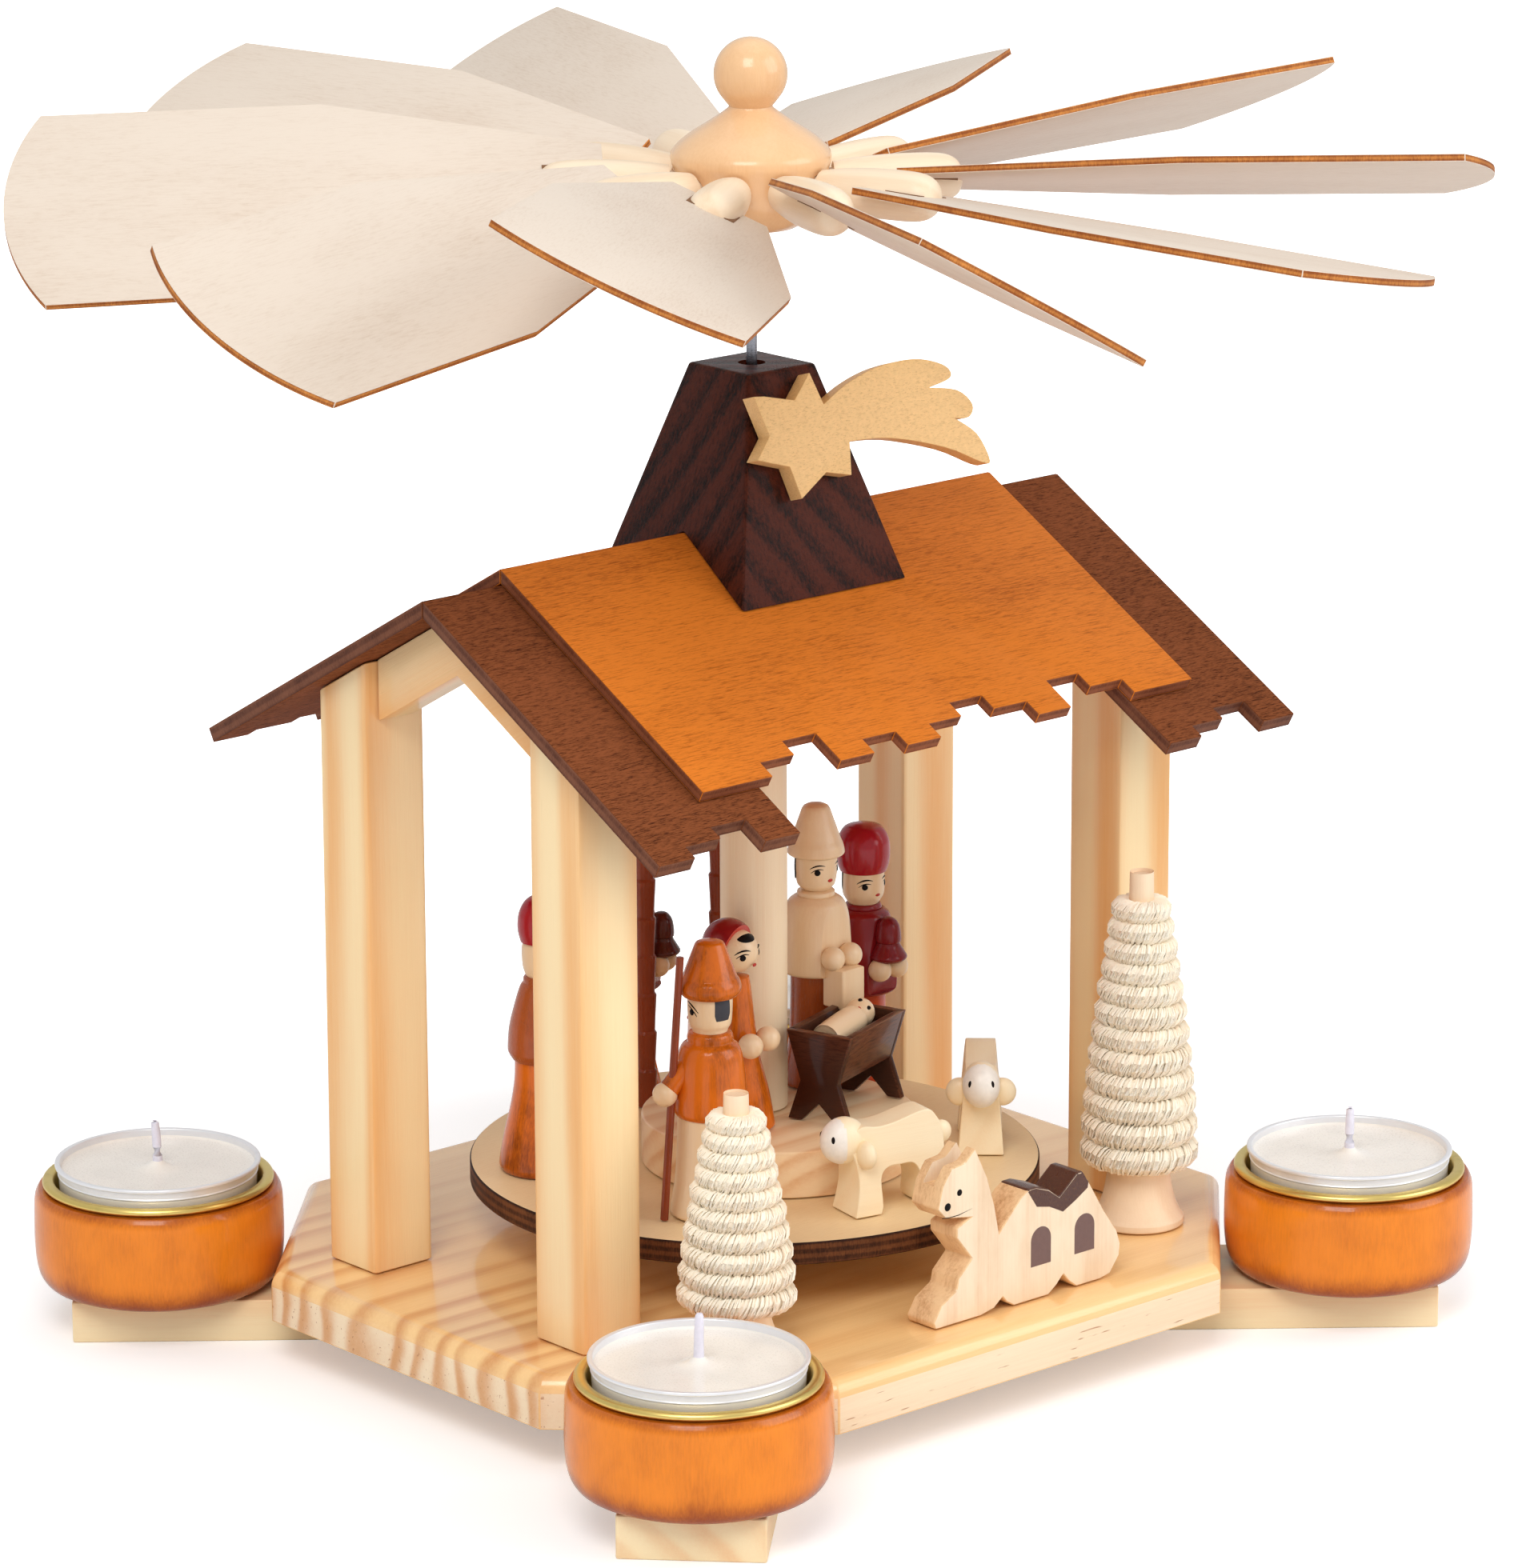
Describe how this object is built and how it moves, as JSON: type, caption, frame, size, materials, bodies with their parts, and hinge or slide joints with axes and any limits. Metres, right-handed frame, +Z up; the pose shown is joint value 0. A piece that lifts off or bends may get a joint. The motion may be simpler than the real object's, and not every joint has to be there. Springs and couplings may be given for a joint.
{
  "type": "candle carousel",
  "caption": "Tabletop candle carousel: a wooden stable on crossed slats with tea lights in turned cups, a turntable of figures and a pitched-blade rotor that warm air spins.",
  "frame": {"origin": "the floor under the spindle, which is also the middle of the crossed slats", "axes": "+X along the roof ridge, -Y towards the eave side with the comet and the camel, +Z up along the spindle"},
  "size_m": [0.2681, 0.2618, 0.2423],
  "materials": {
    "beech": "turned wood, satin varnish",
    "birch_ply": "bare plywood, edges darkened by the laser",
    "brass": "polished pressed sheet",
    "cup_stain": "orange-brown stain under clear gloss",
    "dark_stain": "very dark stain, satin",
    "gold_paint": "gilt paint on wood",
    "light": "white wax in a thin bright can",
    "orange_stain": "orange-brown stain, satin",
    "pale_wood": "natural wood, satin",
    "pine": "clear satin varnish",
    "red_stain": "deep red gloss stain",
    "robe_stain": "orange-brown gloss stain",
    "sheep_wood": "cream stained wood, satin",
    "steel": "drawn rod",
    "walnut_stain": "dark brown stain, satin"
  },
  "bodies": {
    "stand": {"base_board": "pine", "slat_left_right": "pale_wood", "slat_front_back": "pale_wood", "post_left_front": "pine", "post_left_back": "pine", "post_right_front": "pine", "post_right_back": "pine", "gable_frame_left": "pine", "gable_frame_right": "pine", "roof_dark_front_left": "walnut_stain", "roof_dark_front_right": "walnut_stain", "roof_dark_back_left": "walnut_stain", "roof_dark_back_right": "walnut_stain", "roof_orange_front": "orange_stain", "roof_orange_back": "orange_stain", "chimney": "dark_stain", "comet": "gold_paint", "cup_right": "cup_stain", "cup_back": "cup_stain", "cup_left": "cup_stain", "cup_front": "cup_stain", "cup_liner_right": "brass", "cup_liner_back": "brass", "cup_liner_left": "brass", "cup_liner_front": "brass", "bearing_pan": "brass", "tree_right": "pale_wood", "tree_front": "pale_wood", "camel": "pale_wood"},
    "carousel": {"turntable": "birch_ply", "plinth": "pale_wood", "column": "pale_wood", "spindle": "steel", "hub": "beech", "manger": "dark_stain", "figure_gift_bearer": "robe_stain", "figure_mother": "robe_stain", "figure_shepherd": "robe_stain", "figure_red_turban": "red_stain", "figure_behind_palm": "robe_stain", "figure_bell_robe": "robe_stain", "sheep_side": "sheep_wood", "sheep_facing": "sheep_wood", "palm_1": "walnut_stain", "palm_2": "walnut_stain"},
    "blade_01": {"blade_01": "birch_ply"},
    "blade_02": {"blade_02": "birch_ply"},
    "blade_03": {"blade_03": "birch_ply"},
    "blade_04": {"blade_04": "birch_ply"},
    "blade_05": {"blade_05": "birch_ply"},
    "blade_06": {"blade_06": "birch_ply"},
    "blade_07": {"blade_07": "birch_ply"},
    "blade_08": {"blade_08": "birch_ply"},
    "blade_09": {"blade_09": "birch_ply"},
    "blade_10": {"blade_10": "birch_ply"},
    "tea_light_right": {"tea_light_right": "light"},
    "tea_light_back": {"tea_light_back": "light"},
    "tea_light_left": {"tea_light_left": "light"},
    "tea_light_front": {"tea_light_front": "light"}
  },
  "joints": [
    {"name": "carousel_spin", "type": "hinge", "parent": "stand", "child": "carousel", "pos_m": [0, 0, 0.20795], "axis": [0, 0, 1], "continuous": true},
    {"name": "blade_01_pitch", "type": "hinge", "parent": "carousel", "child": "blade_01", "pos_m": [0, 0, 0.21595], "axis": [0.8121, -0.5835, 0], "range_deg": [-7, 7]},
    {"name": "blade_02_pitch", "type": "hinge", "parent": "carousel", "child": "blade_02", "pos_m": [0, 0, 0.21595], "axis": [1, 0.0052, 0], "range_deg": [-7, 7]},
    {"name": "blade_03_pitch", "type": "hinge", "parent": "carousel", "child": "blade_03", "pos_m": [0, 0, 0.21595], "axis": [0.8059, 0.592, 0], "range_deg": [-7, 7]},
    {"name": "blade_04_pitch", "type": "hinge", "parent": "carousel", "child": "blade_04", "pos_m": [0, 0, 0.21595], "axis": [0.304, 0.9527, 0], "range_deg": [-7, 7]},
    {"name": "blade_05_pitch", "type": "hinge", "parent": "carousel", "child": "blade_05", "pos_m": [0, 0, 0.21595], "axis": [-0.314, 0.9494, 0], "range_deg": [-7, 7]},
    {"name": "blade_06_pitch", "type": "hinge", "parent": "carousel", "child": "blade_06", "pos_m": [0, 0, 0.21595], "axis": [-0.8121, 0.5835, 0], "range_deg": [-7, 7]},
    {"name": "blade_07_pitch", "type": "hinge", "parent": "carousel", "child": "blade_07", "pos_m": [0, 0, 0.21595], "axis": [-1, -0.0052, 0], "range_deg": [-7, 7]},
    {"name": "blade_08_pitch", "type": "hinge", "parent": "carousel", "child": "blade_08", "pos_m": [0, 0, 0.21595], "axis": [-0.8059, -0.592, 0], "range_deg": [-7, 7]},
    {"name": "blade_09_pitch", "type": "hinge", "parent": "carousel", "child": "blade_09", "pos_m": [0, 0, 0.21595], "axis": [-0.304, -0.9527, 0], "range_deg": [-7, 7]},
    {"name": "blade_10_pitch", "type": "hinge", "parent": "carousel", "child": "blade_10", "pos_m": [0, 0, 0.21595], "axis": [0.314, -0.9494, 0], "range_deg": [-7, 7]},
    {"name": "tea_light_right_lift", "type": "slide", "parent": "stand", "child": "tea_light_right", "axis": [0, 0, 1], "range_m": [0, 0.03]},
    {"name": "tea_light_back_lift", "type": "slide", "parent": "stand", "child": "tea_light_back", "axis": [0, 0, 1], "range_m": [0, 0.03]},
    {"name": "tea_light_left_lift", "type": "slide", "parent": "stand", "child": "tea_light_left", "axis": [0, 0, 1], "range_m": [0, 0.03]},
    {"name": "tea_light_front_lift", "type": "slide", "parent": "stand", "child": "tea_light_front", "axis": [0, 0, 1], "range_m": [0, 0.03]}
  ]
}
